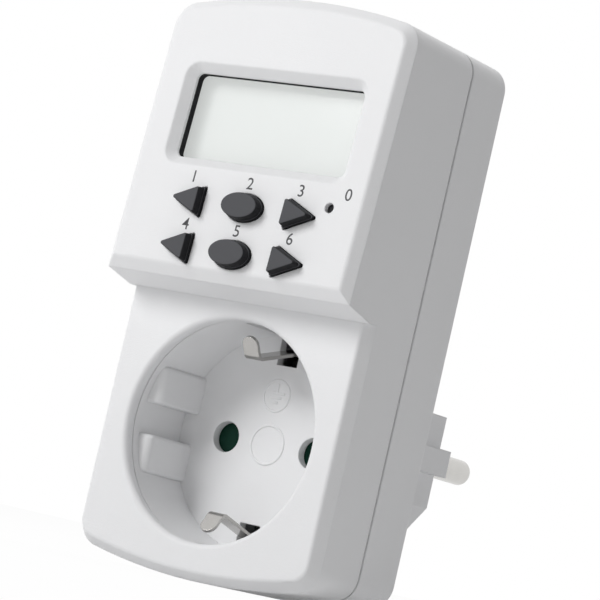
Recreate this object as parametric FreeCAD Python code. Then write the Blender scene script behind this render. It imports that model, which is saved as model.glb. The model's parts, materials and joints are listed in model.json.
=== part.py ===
import FreeCAD
import Part
import math
import os

# Plug-in timer switch: a two-shell case with a tilted display block over an earthed
# socket well, and an earthed two-pin plug at the back.
# Origin: centre of the plug's end face. +Y is the way the plug goes into a wall socket,
# +X is right seen from the front, +Z is up. Millimetres.

# Plug at the back
PIN_PITCH = 19.0
PIN_R = 2.4
PIN_LEN = 19.0
PIN_TIP_R = 1.1
PIN_SHANK = 11.0
PIN_NECK_R = 2.1
PIN_RECESS = 0.6
PIN_CARRIER_T = 4.0
PIN_CARRIER_HALF_W = 13.5
PIN_CARRIER_HALF_H = 9.0
PLUG_R = 18.5
PLUG_H = 21.0
PLUG_WALL = 2.2
GUIDE_FLOOR = 16.0
GUIDE_RIB = 4.9
GUIDE_HALF = 8.5
PLUG_SHOULDER_X = 12.6
PLUG_EDGE_R = 0.8
PLUG_FOOT_X = 12.1
EARTH_GROOVE_W = 6.4
EARTH_GROOVE_FLOOR = 16.0

# Case
SIDE_GAP = 1.15
FOOT_GAP = 1.25
BEHIND_WELL = 6.4
TOP_MARGIN = 13.15
REAR_D = 12.3
SOCKET_DROP = 4.3
ARCH = 3.0
CORNER_R = 4.6
WALL = 2.0
BACK_EDGE_R = 0.9
SEAM_GAP = 0.5
SEAM_DEEP = 0.8
CREASE_R = 1.0
STEP_CREASE_R = 0.8
BEVEL_W = 1.5
BEVEL_D = 2.3

# Display block
STEP_ABOVE_SOCKET = 22.7
LIP_ABOVE_SOCKET = 24.9
BLOCK_RISE = 8.75
TILT = 3.4
DISPLAY_BEVEL = 1.7

# Display window, measured on the tilted face from its lower lip
WINDOW_X = 0.2
WINDOW_S = 28.85
WINDOW_W = 36.2
WINDOW_H = 15.5
WINDOW_R = 1.2
FRAME_SLOPE_W = 1.65
FRAME_SLOPE_D = 1.6
FRAME_SOFT_R = 0.5
GASKET_T = 1.4
GASKET_LAP = 0.05
LENS_LAP = 2.4
LENS_T = 1.2
GLASS_T = 1.1
GLASS_LEDGE = 2.6
GLASS_IN = 0.65
HOLDER_EDGE = 1.3
HOLDER_LEDGE = 2.5
REFLECTOR_T = 0.3

# Buttons, measured on the tilted face
BUTTON_X = 0.9
BUTTON_BASE = 9.0
BUTTON_APEX = 15.3
BUTTON_HALF_H = 2.8
OVAL_HALF_W = 4.0
OVAL_HALF_H = 2.5
ROW_UPPER_S = 13.2
ROW_LOWER_S = 4.75
BUTTON_PROUD = 2.1
BUTTON_COLLAR = 0.6
BUTTON_STEP = 0.12
BUTTON_DRAFT = 0.15
BUTTON_TRAVEL = 0.7
BUTTON_FLANGE = 0.4
BUTTON_FLANGE_T = 0.8
BUTTON_ROUND = 0.35
BUTTON_STEM = 1.5
BUTTON_STEM_R = 1.2
BUTTON_STEM_IN = 2.1
BUTTON_EDGE_R = 0.22
MAT_T = 1.0
MAT_EDGE = 1.0
DOME_R = 2.6
DOME_TOP_R = 1.5
RESET_X = 18.2
RESET_S = 15.3
RESET_R = 0.75
RESET_SUNK = 0.8
RESET_TRAVEL = 0.5

# Socket well
WELL_R = 19.75
WELL_D = 16.0
WELL_WALL = 1.5
WELL_FLOOR = 1.8
WELL_FLANGE = 1.8
FLANGE_T = 1.6
RIM_R = 1.0
HOLE_R = 2.8
LUG_X = 16.6
LUG_LOW = 2.8
LUG_HIGH = 9.6
LUG_FRONT = 3.8
CLIP_SLOT_HALF = 2.2
LUG_R = 1.3
LUG_SIDE_R = 0.7
WELL_GAP = 0.15
CLIP_SLOT_LOW = 14.4
CLIP_GROOVE = 0.9

# Spring earth clips in the well
CLIP_W = 3.2
CLIP_T = 0.6
CLIP_APEX = 13.9
CLIP_APEX_D = 5.6
CLIP_TIP = 17.4
CLIP_TIP_D = 3.2
CLIP_ROOT = 16.7
CLIP_BEND_R = 0.7
CLIP_FLEX = 6.0

# Shutter behind the well floor
SHUTTER_R = 12.7
SHUTTER_T = 1.4
SHUTTER_TURN = 36.0
SHUTTER_HOLE_R = 2.85
PIVOT_R = 1.5
SPRING_WIRE_R = 0.2
SPRING_LEG = 5.0

# Contacts and bars
CONTACT_BORE = 2.5
CONTACT_T = 0.6
CONTACT_L = 13.0
CONTACT_SLIT = 1.2
BAR_W = 2.6
BAR_T = 0.6
LIVE_BAR_W = 2.4
BAR_X = 15.0
STRAP_W = 6.0
STRAP_END = 1.5
LEAF_END = 1.2
LEAF_CLEAR = 6.5
CARRIER_T = 1.6
CARRIER_HALF_W = 18.5
CARRIER_TOP = 11.0
CARRIER_BOTTOM = 14.0

# Boards
BOARD_T = 1.6
BOARD_CORNER_R = 2.5
CONTROL_DEPTH = 9.0
CONTROL_EDGE_GAP = 1.0
CONTROL_LOW = 3.2
POWER_STANDOFF = 2.4
POWER_EDGE_GAP = 1.4
POWER_LOW = 29.0
POWER_TOP_GAP = 6.8
BOARD_SCREW_IN = 2.6
POWER_SCREW_IN = 4.5
SCREW_UP = 3.0
BOSS_GAP = 0.7
BOARD_SCREW_R = 0.9
BOARD_SCREW_HEAD_R = 1.8
BOARD_SCREW_HEAD_T = 1.2
BOARD_SCREW_LEN = 4.2
CONTROL_BOSS_R = 2.2
POWER_BOSS_R = 2.4

# Pieces on the power board, placed up from its foot or down from its top; how tall they
# stand is measured from its front
RELAY_X = 8.05
RELAY_UP = 12.2
RELAY_W = 18.5
RELAY_H = 12.0
RELAY_TALL = 12.8
RELAY_BASE_T = 1.6
RELAY_WALL = 1.0
COIL_X = 5.4
COIL_R = 3.6
COIL_END_R = 4.6
COIL_END_T = 0.9
FILM_X = -10.1
FILM_UP = 9.8
FILM_W = 15.0
FILM_H = 6.6
FILM_TALL = 11.5
CAN_X = -14.0
CAN_UP = 19.5
CAN_R = 4.0
CAN_TALL = 11.2
CAN_GROOVE_UP = 1.6
CAN_GROOVE_W = 0.6
CAN_GROOVE_D = 0.3
VARISTOR_X = -6.6
VARISTOR_UP = 19.5
VARISTOR_R = 4.2
VARISTOR_T = 3.2
VARISTOR_OFF = 1.2
VARISTOR_LEG_R = 0.35
VARISTOR_LEG_PITCH = 4.4
BRIDGE_X = -13.5
BRIDGE_DOWN = 8.0
BRIDGE_W = 8.0
BRIDGE_H = 6.0
BRIDGE_TALL = 2.6
FUSE_IN = 2.2
FUSE_DOWN = 14.5
FUSE_R = 1.3
FUSE_L = 8.0
FUSE_OFF = 0.7
FUSE_LEG = 0.6
FUSE_LEG_IN = 0.4
CELL_X = 8.4
CELL_DOWN = 9.9
CELL_R = 7.6
CELL_OFF = 0.8
CELL_T = 5.4
CELL_ROUND = 0.7
TAB_W = 3.0
TAB_T = 0.3
TAB_OUT = 2.4
HEADER_HALF_W = 10.0
HEADER_T = 2.6
HEADER_UP = 2.0
HEADER_H = 2.4
HEADER_PITCH = 2.5
HEADER_PINS = 8
HEADER_PIN = 0.6

# Pieces on the back of the control board
CHIP_X = -2.0
CHIP_S = 29.0
CHIP_W = 10.0
CHIP_T = 1.4
CRYSTAL_X = 10.5
CRYSTAL_S = 29.1
CRYSTAL_R = 1.45
CRYSTAL_L = 6.2

# Hooks along the rear shell's top edge
HOOK_X = 11.0
HOOK_W = 8.0
HOOK_OUT = 2.5
HOOK_IN = 3.5
HOOK_T = 1.4

# Case screws
SCREW_R = 1.4
SCREW_HEAD_R = 2.7
SCREW_HEAD_H = 1.9
SCREW_CROSS = 1.7
SCREW_CROSS_W = 0.7
SCREW_SEAT = 4.0
SCREW_LEN = 15.0
POST_R = 3.0
REAR_POST_R = 3.9
POST_IN = 5.6
POST_UPPER_Z = 24.4
POST_LOWER_Z = 17.8

# Clearances
FIT = 0.05
SLIDE = 0.15
AIR = 0.3

# Derived sizes
WELL_OUT_R = WELL_R + WELL_WALL + WELL_FLANGE
CASE_W = 2 * (WELL_OUT_R + SIDE_GAP + WALL)
CASE_D = WELL_D + WELL_FLOOR + BEHIND_WELL + WALL
BOTTOM_BELOW_SOCKET = WELL_OUT_R + FOOT_GAP + WALL
TOP_ABOVE_SOCKET = LIP_ABOVE_SOCKET + WINDOW_S + WINDOW_H / 2 + FRAME_SLOPE_W + TOP_MARGIN
LENS_W = WINDOW_W + 2 * LENS_LAP
LENS_H = WINDOW_H + 2 * LENS_LAP
CONTROL_HALF_W = CASE_W / 2 - WALL - CONTROL_EDGE_GAP
POWER_HALF_W = CASE_W / 2 - WALL - POWER_EDGE_GAP
POWER_HIGH = TOP_ABOVE_SOCKET - POWER_TOP_GAP
BOARD_SCREW_X = CONTROL_HALF_W - BOARD_SCREW_IN
CONTROL_SCREW_S = (CONTROL_LOW + SCREW_UP,
                   WINDOW_S + LENS_H / 2 + HOLDER_EDGE + CONTROL_BOSS_R + BOSS_GAP)
CONTROL_HIGH = CONTROL_SCREW_S[1] + BOARD_SCREW_IN + AIR
POWER_SCREW_Z = (POWER_LOW + POWER_SCREW_IN, POWER_HIGH - POWER_SCREW_IN)
POST_X = CASE_W / 2 - POST_IN
SCREW_PLACES = ((POST_X, POST_UPPER_Z), (-POST_X, POST_UPPER_Z),
                (POST_X, -POST_LOWER_Z), (-POST_X, -POST_LOWER_Z))

# Derived places
Y_BACK = -PLUG_H
Y_FACE = Y_BACK - CASE_D
Y_SEAM = Y_BACK - REAR_D
Y_LIP = Y_FACE - BLOCK_RISE
Y_BACK_IN = Y_BACK - WALL
Z_SOCKET = -SOCKET_DROP
Z_TOP = Z_SOCKET + TOP_ABOVE_SOCKET
Z_BOTTOM = Z_SOCKET - BOTTOM_BELOW_SOCKET
Z_STEP = Z_SOCKET + STEP_ABOVE_SOCKET
Z_LIP = Z_SOCKET + LIP_ABOVE_SOCKET
PIN_X = PIN_PITCH / 2
Y_WELL = Y_FACE + WALL + WELL_GAP
Y_FLOOR = Y_FACE + WELL_D
Y_FLOOR_BACK = Y_FLOOR + WELL_FLOOR
Y_SHUTTER = Y_FLOOR_BACK + SLIDE
Y_CONTACT = Y_SHUTTER + SHUTTER_T + AIR
Y_STRAP = Y_BACK_IN - CARRIER_T - BAR_T - 4 * FIT
Y_CARRIER = Y_BACK_IN - CARRIER_T - FIT
Y_POWER_BACK = Y_BACK_IN - POWER_STANDOFF
Y_POWER = Y_POWER_BACK - BOARD_T
Y_CLIP_ROOT = Y_STRAP - AIR - CLIP_T
Y_PIN_END = -PIN_SHANK
LEG_PLACES = ((16.0, -12.0, 1.9), (-16.0, -12.0, 1.9), (17.6, 9.0, 1.25), (-17.6, 9.0, 1.25))
Z_FOOT = Z_SOCKET + POWER_LOW
Z_HEAD = Z_SOCKET + POWER_HIGH
Z_RELAY = Z_FOOT + RELAY_UP
GASKET_D = WALL + FIT
LENS_D = GASKET_D + GASKET_T + FIT
GLASS_D = LENS_D + LENS_T + 2 * FIT
REAR_GLASS_D = GLASS_D + GLASS_T + FIT
REFLECTOR_D = REAR_GLASS_D + GLASS_T + FIT
STEM_END = WALL + FIT + BUTTON_FLANGE_T + BUTTON_STEM
DOME_TOP = STEM_END + BUTTON_TRAVEL + FIT
STEM_X = BUTTON_BASE + BUTTON_STEM_IN

V = FreeCAD.Vector


def box(x0, x1, y0, y1, z0, z1):
    return Part.makeBox(x1 - x0, y1 - y0, z1 - z0, V(x0, y0, z0))


def rod(r, y0, y1, x=0.0, z=0.0):
    return Part.makeCylinder(r, y1 - y0, V(x, y0, z), V(0, 1, 0))


def join(first, *rest):
    shape = first
    for other in rest:
        shape = shape.fuse(other)
    return shape.removeSplitter()


def on_face(shape):
    """Takes a shape from the display face's own frame, depth along +Y from the face and
    height along +Z from its lower lip, to its place."""
    shape = shape.copy()
    shape.rotate(V(0, 0, 0), V(1, 0, 0), -TILT)
    shape.translate(V(0, Y_LIP, Z_LIP))
    return shape


def polygon_xz(points, y0, y1):
    wire = Part.makePolygon([V(x, y0, z) for x, z in points] + [V(points[0][0], y0, points[0][1])])
    return Part.Face(wire).extrude(V(0, y1 - y0, 0))


def round_upright(solid, r, keep=lambda edge: True):
    edges = [e for e in solid.Edges if abs(e.tangentAt(e.FirstParameter).y) > 0.999 and keep(e)]
    return solid.makeFillet(r, edges)


def rounded_plate(w, h, r, y0, y1, x=0.0, z=0.0):
    return round_upright(box(x - w / 2, x + w / 2, y0, y1, z - h / 2, z + h / 2), r)


def case_prism(inset, y0, y1):
    """The case's outline, arched at top and bottom, drawn in by inset."""
    half, top, low = CASE_W / 2 - inset, Z_TOP - inset, Z_BOTTOM + inset
    a, b = V(-half, y0, top - ARCH), V(half, y0, top - ARCH)
    c, d = V(half, y0, low + ARCH), V(-half, y0, low + ARCH)
    edges = [Part.Arc(a, V(0, y0, top), b).toShape(), Part.makeLine(b, c),
             Part.Arc(c, V(0, y0, low), d).toShape(), Part.makeLine(d, a)]
    solid = Part.Face(Part.Wire(edges)).extrude(V(0, y1 - y0, 0))
    return round_upright(solid, max(CORNER_R - inset, 0.5))


def end_wire(solid, y):
    for face in solid.Faces:
        if all(abs(v.Y - y) < 1e-6 for v in face.Vertexes):
            return face.OuterWire


def meet(p, u, q, v):
    """Where the line through p along u crosses the line through q along v."""
    k = ((q[0] - p[0]) * v[1] - (q[1] - p[1]) * v[0]) / (u[0] * v[1] - u[1] * v[0])
    return (p[0] + k * u[0], p[1] + k * u[1])


def stepped_profile(inset, y_end):
    """The side view of the stepped front, drawn in by inset, across the whole width."""
    rise = math.atan2(Z_LIP - Z_STEP, Y_FACE - Y_LIP)
    tilt = math.radians(TILT)
    under = (-math.cos(rise), math.sin(rise))
    face = (math.sin(tilt), math.cos(tilt))
    on_under = (Y_FACE + inset * math.sin(rise), Z_STEP + inset * math.cos(rise))
    on_display = (Y_LIP + inset * math.cos(tilt), Z_LIP - inset * math.sin(tilt))
    low, high = Z_BOTTOM - 5, Z_TOP + 5
    corner = meet((Y_FACE + inset, 0), (0, 1), on_under, under)
    lip = meet(on_under, under, on_display, face)
    top = meet(on_display, face, (0, high), (1, 0))
    points = [(Y_FACE + inset, low), corner, lip, top, (y_end, high), (y_end, low)]
    wire = Part.makePolygon([V(-CASE_W, y, z) for y, z in points + points[:1]])
    return Part.Face(wire).extrude(V(2 * CASE_W, 0, 0))


def on_display(point):
    tilt = math.radians(TILT)
    return abs((point - V(0, Y_LIP, Z_LIP)).dot(V(0, math.cos(tilt), -math.sin(tilt)))) < 1e-4


def in_window(point):
    """Whether a point of the display face lies on the window's sloped frame."""
    s = (point.z - Z_LIP) / math.cos(math.radians(TILT))
    edge = FRAME_SLOPE_W + FIT
    return (abs(point.x - WINDOW_X) < WINDOW_W / 2 + edge
            and abs(s - WINDOW_S) < WINDOW_H / 2 + edge)


def front_outer():
    body = case_prism(0, Y_LIP - 1, Y_SEAM).common(stepped_profile(0, Y_SEAM))
    rim = [e for e in body.Edges if all(on_display(v.Point) for v in e.Vertexes)]
    body = body.makeChamfer(DISPLAY_BEVEL, rim)
    crease = [e for e in body.Edges if all(on_display(v.Point) for v in e.Vertexes)]
    body = body.makeFillet(CREASE_R, crease)
    inner = end_wire(case_prism(BEVEL_W, Y_FACE, Y_FACE + 1), Y_FACE)
    outer = end_wire(case_prism(0, Y_FACE + BEVEL_D, Y_FACE + BEVEL_D + 1), Y_FACE + BEVEL_D)
    cone = Part.makeLoft([inner, outer], True, True)
    ring = case_prism(-1, Y_FACE - 1, Y_FACE + BEVEL_D).cut(cone)
    below = box(-CASE_W, CASE_W, Y_FACE - 1, Y_SEAM, Z_BOTTOM - 5, Z_STEP)
    body = body.cut(ring.common(below))
    crease = [e for e in body.Edges if all(abs(v.Y - Y_FACE) < 1e-5 for v in e.Vertexes)
              and min(v.Z for v in e.Vertexes) < Z_STEP - FIT]
    return body.makeFillet(STEP_CREASE_R, crease)


def triangle(side, s, grow, y0, y1):
    """A rounded triangular prism that points outward; side is -1 left, 1 right."""
    base, apex = BUTTON_BASE - grow, BUTTON_APEX + 2 * grow
    half = BUTTON_HALF_H + 1.5 * grow
    points = [(BUTTON_X + side * base, s - half), (BUTTON_X + side * base, s + half),
              (BUTTON_X + side * apex, s)]
    return round_upright(polygon_xz(points, y0, y1), BUTTON_ROUND)


def oval(s, grow, y0, y1):
    major, minor = OVAL_HALF_W + grow, OVAL_HALF_H + grow
    curve = Part.Ellipse(V(0, 0, 0), major, minor)
    face = Part.Face(Part.Wire(curve.toShape()))
    face.rotate(V(0, 0, 0), V(1, 0, 0), 90)
    face.translate(V(BUTTON_X, y0, s))
    return face.extrude(V(0, y1 - y0, 0))


def button_shapes(grow, y0, y1):
    shapes = {}
    for row, s in (("upper", ROW_UPPER_S), ("lower", ROW_LOWER_S)):
        shapes["button_left_" + row] = triangle(-1, s, grow, y0, y1)
        shapes["button_centre_" + row] = oval(s, grow, y0, y1)
        shapes["button_right_" + row] = triangle(1, s, grow, y0, y1)
    return shapes


def window_cut():
    inner = rounded_plate(WINDOW_W, WINDOW_H, WINDOW_R, 0, 1)
    outer = rounded_plate(WINDOW_W + 2 * FRAME_SLOPE_W, WINDOW_H + 2 * FRAME_SLOPE_W,
                          WINDOW_R + FRAME_SLOPE_W, 0, 1)
    near, far = end_wire(outer, 0).copy(), end_wire(inner, 0).copy()
    far.translate(V(0, FRAME_SLOPE_D, 0))
    funnel = Part.makeLoft([near, far], True, True)
    through = rounded_plate(WINDOW_W, WINDOW_H, WINDOW_R, FRAME_SLOPE_D, WALL + 1)
    cut = join(funnel, through)
    cut.translate(V(WINDOW_X, 0, WINDOW_S))
    return cut


def front_shell():
    outer = front_outer().cut(on_face(window_cut()))
    mouth = [e for e in outer.Edges
             if all(on_display(v.Point) and in_window(v.Point) for v in e.Vertexes)]
    outer = outer.makeFillet(FRAME_SOFT_R, mouth)
    cavity = case_prism(WALL, Y_LIP, Y_SEAM + 1).common(stepped_profile(WALL, Y_SEAM + 1))
    shell = outer.cut(cavity)
    posts = [rod(POST_R, Y_LIP + WALL, Y_SEAM, x, Z_SOCKET + z) for x, z in SCREW_PLACES]
    posts = [p.common(cavity) for p in posts]
    bosses = [on_face(rod(CONTROL_BOSS_R, WALL - FIT, CONTROL_DEPTH, x, s)).common(cavity)
              for x in (-BOARD_SCREW_X, BOARD_SCREW_X) for s in CONTROL_SCREW_S]
    shell = join(shell, *posts, *bosses)
    for x, z in SCREW_PLACES:
        shell = shell.cut(rod(SCREW_R + FIT, Y_SEAM + SCREW_SEAT - SCREW_LEN - 1, Y_SEAM + 1, x,
                              Z_SOCKET + z))
    for x in (-BOARD_SCREW_X, BOARD_SCREW_X):
        for s in CONTROL_SCREW_S:
            shell = shell.cut(on_face(rod(BOARD_SCREW_R + FIT, CONTROL_DEPTH - BOARD_SCREW_LEN,
                                       CONTROL_DEPTH + 1, x, s)))
    for cut in button_shapes(SLIDE, -1, WALL + 1).values():
        shell = shell.cut(on_face(cut))
    shell = shell.cut(on_face(rod(RESET_R + SLIDE, -1, WALL + 1, RESET_X, RESET_S)))
    hole = rod(WELL_R, Y_FACE - 1, Y_FACE + WALL + 1, 0, Z_SOCKET)
    shell = shell.cut(hole)
    rim = [e for e in shell.Edges if len(e.Vertexes) == 1 and abs(e.Vertexes[0].Y - Y_FACE) < 1e-6
           and abs(e.Length - 2 * math.pi * WELL_R) < 1e-3]
    return shell.makeFillet(RIM_R, rim)


def plug_outline(y0, y1):
    """The plug: round above and below, stepped in beside its straight guide sides."""
    def on_round(x):
        return math.sqrt(PLUG_R ** 2 - x ** 2)
    top, foot = PLUG_SHOULDER_X, PLUG_FOOT_X
    side, half, rib = GUIDE_FLOOR, GUIDE_HALF, GUIDE_RIB / 2
    right = [(top, on_round(top)), (top, half), (side, half), (side, rib), (PLUG_R, rib),
             (PLUG_R, -rib), (side, -rib), (side, -half), (foot, -on_round(foot))]
    left = [(-x, z) for x, z in reversed(right)]
    edges = []
    for run in (right, left):
        for (x0, z0), (x1, z1) in zip(run, run[1:]):
            edges.append(Part.makeLine(V(x0, y0, z0), V(x1, y0, z1)))
    edges.append(Part.Arc(V(foot, y0, -on_round(foot)), V(0, y0, -PLUG_R),
                          V(-foot, y0, -on_round(foot))).toShape())
    edges.append(Part.Arc(V(-top, y0, on_round(top)), V(0, y0, PLUG_R),
                          V(top, y0, on_round(top))).toShape())
    wire = Part.Wire(Part.__sortEdges__(edges))
    return Part.Face(wire).extrude(V(0, y1 - y0, 0))


def plug_cavity(y0, y1):
    """The plug's hollow, PLUG_WALL inside its outline."""
    half = EARTH_GROOVE_FLOOR - PLUG_WALL
    side = GUIDE_FLOOR - PLUG_WALL
    cavity = rod(PLUG_R - PLUG_WALL, y0, y1).common(box(-side, side, y0, y1, -half, half))
    shoulder = PLUG_SHOULDER_X - PLUG_WALL
    for x0, x1 in ((shoulder, PLUG_R), (-PLUG_R, -shoulder)):
        cavity = cavity.cut(box(x0, x1, y0, y1, GUIDE_HALF - PLUG_WALL, PLUG_R))
    return cavity


def rear_shell():
    shell = case_prism(0, Y_SEAM, Y_BACK)
    edges = [e for e in shell.Edges if all(abs(v.Y - Y_BACK) < 1e-6 for v in e.Vertexes)]
    shell = shell.makeFillet(BACK_EDGE_R, edges)
    groove = case_prism(-1, Y_SEAM - 1, Y_SEAM + SEAM_GAP)
    shell = shell.cut(groove.cut(case_prism(SEAM_DEEP, Y_SEAM - 1, Y_SEAM + SEAM_GAP)))
    plug = plug_outline(Y_BACK - 1, 0)
    ends = [e for e in plug.Edges if all(abs(v.Y) < 1e-6 for v in e.Vertexes)]
    plug = plug.makeFillet(PLUG_EDGE_R, ends)
    shell = join(shell, plug)
    shell = shell.cut(case_prism(WALL, Y_SEAM - 1, Y_BACK_IN))
    shell = shell.cut(plug_cavity(Y_BACK_IN - 1, -PLUG_WALL))
    posts = [rod(REAR_POST_R, Y_SEAM, Y_BACK_IN, x, Z_SOCKET + z) for x, z in SCREW_PLACES]
    bosses = [rod(POWER_BOSS_R, Y_POWER_BACK, Y_BACK_IN, x, Z_SOCKET + z)
              for x in (-BOARD_SCREW_X, BOARD_SCREW_X) for z in POWER_SCREW_Z]
    inner = case_prism(WALL, Y_SEAM, Y_BACK_IN)
    shell = join(shell, *[p.common(inner) for p in posts + bosses])
    for x, z in SCREW_PLACES:
        shell = shell.cut(rod(SCREW_R + 2 * FIT, Y_SEAM - 1, Y_BACK + 1, x, Z_SOCKET + z))
        shell = shell.cut(rod(SCREW_HEAD_R + AIR, Y_SEAM + SCREW_SEAT, Y_BACK + 1, x, Z_SOCKET + z))
    for x in (-BOARD_SCREW_X, BOARD_SCREW_X):
        for z in POWER_SCREW_Z:
            shell = shell.cut(rod(BOARD_SCREW_R + FIT, Y_POWER_BACK - 1, Y_POWER + BOARD_SCREW_LEN,
                                  x, Z_SOCKET + z))
    for x in (-PIN_X, PIN_X):
        shell = shell.cut(rod(PIN_NECK_R + FIT, -PLUG_WALL - 1, 1, x, 0))
        shell = shell.cut(rod(PIN_R + FIT, -PIN_RECESS, 1, x, 0))
    groove = EARTH_GROOVE_W / 2
    for sign in (-1, 1):
        low, high = sorted((sign * EARTH_GROOVE_FLOOR, sign * (PLUG_R + 1)))
        shell = shell.cut(box(-groove, groove, Y_BACK, 1, low, high))
        slot = sorted((sign * EARTH_GROOVE_FLOOR, sign * (EARTH_GROOVE_FLOOR + BAR_T + 2 * FIT)))
        shell = shell.cut(box(-groove, groove, Y_BACK_IN - 1, Y_BACK + 1, *slot))
    tongue_z = Z_TOP - WALL - FIT
    half = HOOK_W / 2
    for x in (-HOOK_X, HOOK_X):
        hook = box(x - half, x + half, Y_SEAM - HOOK_OUT, Y_SEAM + HOOK_IN, tongue_z - HOOK_IN, Z_TOP)
        root = box(x - half, x + half, Y_SEAM, Y_SEAM + HOOK_IN, tongue_z - HOOK_IN, Z_TOP)
        hook = hook.common(case_prism(WALL + FIT, Y_SEAM - HOOK_OUT, Y_SEAM + HOOK_IN))
        root = root.common(case_prism(WALL / 2, Y_SEAM, Y_SEAM + HOOK_IN))
        core = case_prism(WALL + FIT + HOOK_T, Y_SEAM - CASE_D, Y_SEAM + CASE_D)
        shell = join(shell, hook.cut(core), root.cut(core))
    return shell


def socket_well():
    z = Z_SOCKET
    cup = rod(WELL_R + WELL_WALL, Y_WELL, Y_FLOOR_BACK, 0, z)
    cup = cup.fuse(rod(WELL_OUT_R, Y_WELL, Y_WELL + FLANGE_T, 0, z))
    cup = cup.cut(rod(WELL_R, Y_WELL - 1, Y_FLOOR, 0, z))
    bore = rod(WELL_R + WELL_WALL / 2, Y_FACE, Y_FLOOR + WELL_FLOOR / 2, 0, z)
    lugs = []
    for side in (-1, 1):
        for sign in (-1, 1):
            x0, x1 = sorted((side * LUG_X, side * (WELL_R + WELL_WALL)))
            z0, z1 = sorted((sign * LUG_LOW, sign * LUG_HIGH))
            lug = box(x0, x1, Y_FACE + LUG_FRONT, Y_FLOOR + WELL_FLOOR / 2, z + z0, z + z1)
            near = [e for e in lug.Edges if abs(e.CenterOfMass.x - side * LUG_X) < 1e-6
                    and abs(e.CenterOfMass.y - Y_FACE - LUG_FRONT) < 1e-6]
            lug = lug.makeFillet(LUG_R, near)
            sides = [e for e in lug.Edges if abs(e.CenterOfMass.z - z - z0) < 1e-6
                     or abs(e.CenterOfMass.z - z - z1) < 1e-6]
            sides = [e for e in sides if abs(e.CenterOfMass.x - side * (WELL_R + WELL_WALL)) > 0.1
                     and e.CenterOfMass.y < Y_FLOOR + WELL_FLOOR / 2 - 0.1]
            lugs.append(lug.makeFillet(LUG_SIDE_R, sides).common(bore))
    legs = [rod(r, Y_FLOOR_BACK - 0.5, Y_CARRIER - FIT, x, z + dz) for x, dz, r in LEG_PLACES]
    pivot = rod(PIVOT_R, Y_FLOOR_BACK - 0.5, Y_SHUTTER + SHUTTER_T + 1.6, 0, z)
    cup = join(cup, *lugs, *legs, pivot)
    for x in (-PIN_X, PIN_X):
        cup = cup.cut(rod(HOLE_R, Y_FLOOR - 1, Y_FLOOR_BACK + 1, x, z))
    for sign in (-1, 1):
        low, high = sorted((sign * CLIP_SLOT_LOW, sign * (WELL_R + CLIP_GROOVE)))
        cup = cup.cut(box(-CLIP_SLOT_HALF, CLIP_SLOT_HALF, Y_WELL + FLANGE_T, Y_FLOOR_BACK + 1,
                          z + low, z + high))
    return cup


def bent_strip(route, w, t, bend_r):
    """A strip across X that follows points (y, z), with its bends rounded."""
    ways = []
    for (y0, z0), (y1, z1) in zip(route, route[1:]):
        long = math.hypot(y1 - y0, z1 - z0)
        ways.append(((y1 - y0) / long, (z1 - z0) / long))
    sides, bends = [], []
    for half in (-t / 2, t / 2):
        def aside(point, way):
            return (point[0] - way[1] * half, point[1] + way[0] * half)
        side = [aside(route[0], ways[0])]
        for point, u, v in zip(route[1:], ways, ways[1:]):
            corner = meet(aside(point, u), u, aside(point, v), v)
            inner = (u[0] * v[1] - u[1] * v[0]) * half > 0
            bends.append((corner, bend_r if inner else bend_r + t))
            side.append(corner)
        sides.append(side + [aside(route[-1], ways[-1])])
    outline = sides[0] + sides[1][::-1]
    wire = Part.makePolygon([V(-w / 2, y, z) for y, z in outline + outline[:1]])
    strip = Part.Face(wire).extrude(V(w, 0, 0))
    for (y, z), r in bends:
        strip = strip.makeFillet(r, [e for e in strip.Edges
                                     if (e.CenterOfMass - V(0, y, z)).Length < 1e-4])
    return strip


def earth_clip(sign):
    """A strip bent to a V that bears on a plug's earth contact; sign 1 is the top clip."""
    route = [(Y_CLIP_ROOT, CLIP_ROOT), (Y_FLOOR, CLIP_ROOT), (Y_FACE + CLIP_APEX_D, CLIP_APEX),
             (Y_FACE + CLIP_TIP_D, CLIP_TIP)]
    clip = bent_strip(route, CLIP_W, CLIP_T, CLIP_BEND_R)
    tip = [e for e in clip.Edges if abs(e.Length - CLIP_T) < 1e-4
           and (e.CenterOfMass - V(e.CenterOfMass.x, *route[-1])).Length < 1e-4]
    clip = clip.makeFillet(CLIP_W / 2 - 2 * FIT, tip)
    root = Part.makeCylinder(CLIP_T, CLIP_W, V(-CLIP_W / 2, *route[0]), V(1, 0, 0))
    clip = join(clip, root)
    if sign < 0:
        clip = clip.mirror(V(0, 0, 0), V(0, 0, 1))
    clip.translate(V(0, 0, Z_SOCKET))
    return clip


def shutter():
    y0, y1 = Y_SHUTTER, Y_SHUTTER + SHUTTER_T
    disc = rod(SHUTTER_R, y0, y1, 0, Z_SOCKET)
    disc = disc.cut(rod(PIVOT_R + FIT, y0 - 1, y1 + 1, 0, Z_SOCKET))
    for turn in (SHUTTER_TURN, SHUTTER_TURN + 180):
        a = math.radians(turn)
        disc = disc.cut(rod(SHUTTER_HOLE_R, y0 - 1, y1 + 1, PIN_X * math.cos(a),
                            Z_SOCKET + PIN_X * math.sin(a)))
    return disc


def shutter_spring():
    """A hairpin of wire bent round the pivot, its legs between the disc and the well."""
    r = PIVOT_R + 4 * FIT + SPRING_WIRE_R
    y = Y_SHUTTER + SHUTTER_T + 2 * SPRING_WIRE_R
    bend = Part.makeTorus(r, SPRING_WIRE_R, V(0, 0, 0), V(0, 0, 1), -180, 180, 180)
    bend.rotate(V(0, 0, 0), V(1, 0, 0), 90)
    bend.translate(V(0, y, Z_SOCKET))
    legs = [Part.makeCylinder(SPRING_WIRE_R, SPRING_LEG, V(x, y, Z_SOCKET), V(0, 0, -1))
            for x in (-r, r)]
    return join(bend, *legs)


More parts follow.
